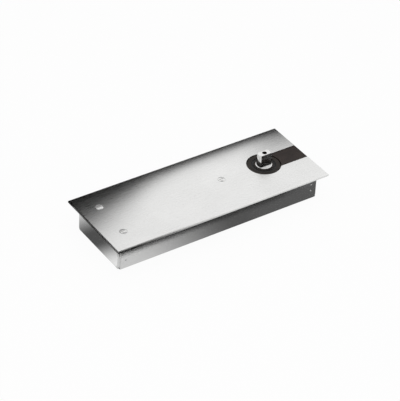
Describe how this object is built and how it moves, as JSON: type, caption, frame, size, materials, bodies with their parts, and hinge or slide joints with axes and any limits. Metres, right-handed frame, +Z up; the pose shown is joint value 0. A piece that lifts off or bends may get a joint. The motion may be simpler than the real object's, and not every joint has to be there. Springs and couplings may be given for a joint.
{
  "type": "floor spring door closer",
  "caption": "Concealed floor spring for a swing door: a flat cover plate on a sheet box, with an oval spindle that a heart cam, rollers and springs turn back to closed.",
  "frame": {"origin": "where the spindle axis meets the top face of the cover plate, which is the finished floor level", "axes": "+Z up along the spindle axis, +X along the box towards its spindle end, +Y across it"},
  "size_m": [0.306, 0.116, 0.0564],
  "materials": {
    "satin_stainless": "satin, fine linear grain",
    "stainless_screw": "satin",
    "infill_plastic": "matt",
    "box_sheet": "rolled sheet, dull",
    "cast_iron": "cast",
    "blackened_cover": "blackened, matt",
    "gasket_fibre": "pressed fibre",
    "black_rubber": "moulded",
    "polished_spindle": "polished",
    "piston_iron": "ground",
    "ring_plastic": "moulded",
    "hardened_steel": "ground",
    "link_steel": "machined",
    "bearing_steel": "polished",
    "spring_steel": "oiled",
    "zinc_steel": "zinc plated",
    "turned_brass": "turned"
  },
  "bodies": {
    "housing": {"cement_box": "box_sheet", "clinch_nuts": "zinc_steel", "cover_plate": "satin_stainless", "cover_plate_screws": "stainless_screw", "slot_infill": "infill_plastic", "closer_body": "cast_iron", "chamber_cover": "blackened_cover", "chamber_gasket": "gasket_fibre", "chamber_cover_screws": "zinc_steel", "shaft_seal": "black_rubber", "needle_bearing_shell": "bearing_steel", "thrust_lower_race": "bearing_steel", "end_plug": "link_steel", "end_plug_seal": "black_rubber", "force_screw_seal": "black_rubber", "channel_plugs": "turned_brass", "levelling_screws": "zinc_steel", "clamp_bolts": "zinc_steel", "clamp_washers": "zinc_steel", "valve_seals": "black_rubber", "outer_spring": "spring_steel", "inner_spring": "spring_steel"},
    "spindle_unit": {"spindle": "polished_spindle", "heart_cam": "hardened_steel", "cam_spacer": "hardened_steel", "thrust_upper_race": "bearing_steel"},
    "carriage": {"upper_link": "link_steel", "lower_link": "link_steel", "carriage_pins": "hardened_steel", "piston": "piston_iron", "piston_ring": "ring_plastic", "check_ball_pin": "bearing_steel", "check_valve_seat": "turned_brass"},
    "front_roller_body": {"front_roller": "hardened_steel"},
    "rear_roller_body": {"rear_roller": "hardened_steel"},
    "check_ball_body": {"check_ball": "bearing_steel"},
    "thrust_ball_set": {"thrust_balls": "bearing_steel"},
    "needle_set": {"bearing_needles": "bearing_steel"},
    "spring_plate_body": {"spring_plate": "link_steel"},
    "force_screw_body": {"spring_force_screw": "zinc_steel"},
    "closing_valve_body": {"closing_valve": "turned_brass"},
    "latching_valve_body": {"latching_valve": "turned_brass"}
  },
  "joints": [
    {"name": "spindle_swing", "type": "hinge", "parent": "housing", "child": "spindle_unit", "pos_m": [0, 0, 0], "axis": [0, 0, 1], "range_deg": [0, 130], "stiffness_Nm_per_rad": 5},
    {"name": "carriage_slide", "type": "slide", "parent": "housing", "child": "carriage", "axis": [-1, 0, 0], "range_m": [0, 0.0102], "deforming": ["outer_spring", "inner_spring"]},
    {"name": "thrust_balls_roll", "type": "hinge", "parent": "housing", "child": "thrust_ball_set", "pos_m": [0, 0, -0.0315], "axis": [0, 0, 1], "range_deg": [0, 65.5]},
    {"name": "needles_roll", "type": "hinge", "parent": "housing", "child": "needle_set", "pos_m": [0, 0, -0.009], "axis": [0, 0, 1], "range_deg": [0, 57.5]},
    {"name": "front_roller_spin", "type": "hinge", "parent": "carriage", "child": "front_roller_body", "pos_m": [-0.0192, 0, -0.021], "axis": [0, 0, 1], "continuous": true},
    {"name": "rear_roller_spin", "type": "hinge", "parent": "carriage", "child": "rear_roller_body", "pos_m": [0.0332, 0, -0.021], "axis": [0, 0, 1], "continuous": true},
    {"name": "check_ball_lift", "type": "slide", "parent": "carriage", "child": "check_ball_body", "axis": [1, 0, 0], "range_m": [0, 0.0006]},
    {"name": "force_screw_turn", "type": "hinge", "parent": "housing", "child": "force_screw_body", "pos_m": [-0.21, 0, -0.021], "axis": [1, 0, 0], "range_deg": [0, 3600]},
    {"name": "spring_plate_slide", "type": "slide", "parent": "housing", "child": "spring_plate_body", "axis": [1, 0, 0], "range_m": [0, 0.01]},
    {"name": "closing_valve_turn", "type": "hinge", "parent": "housing", "child": "closing_valve_body", "pos_m": [-0.2002, 0.021, -0.01], "axis": [0, 0, 1], "range_deg": [0, 360]},
    {"name": "latching_valve_turn", "type": "hinge", "parent": "housing", "child": "latching_valve_body", "pos_m": [-0.2002, -0.021, -0.01], "axis": [0, 0, 1], "range_deg": [0, 360]}
  ],
  "couplings": [
    {"joint": "carriage_slide", "follows": "spindle_swing", "m_per_rad": 0.0044563},
    {"joint": "thrust_balls_roll", "follows": "spindle_swing", "ratio": 0.5},
    {"joint": "needles_roll", "follows": "spindle_swing", "ratio": 0.44},
    {"joint": "force_screw_turn", "follows": "spring_plate_slide", "rad_per_m": 6283.2}
  ]
}
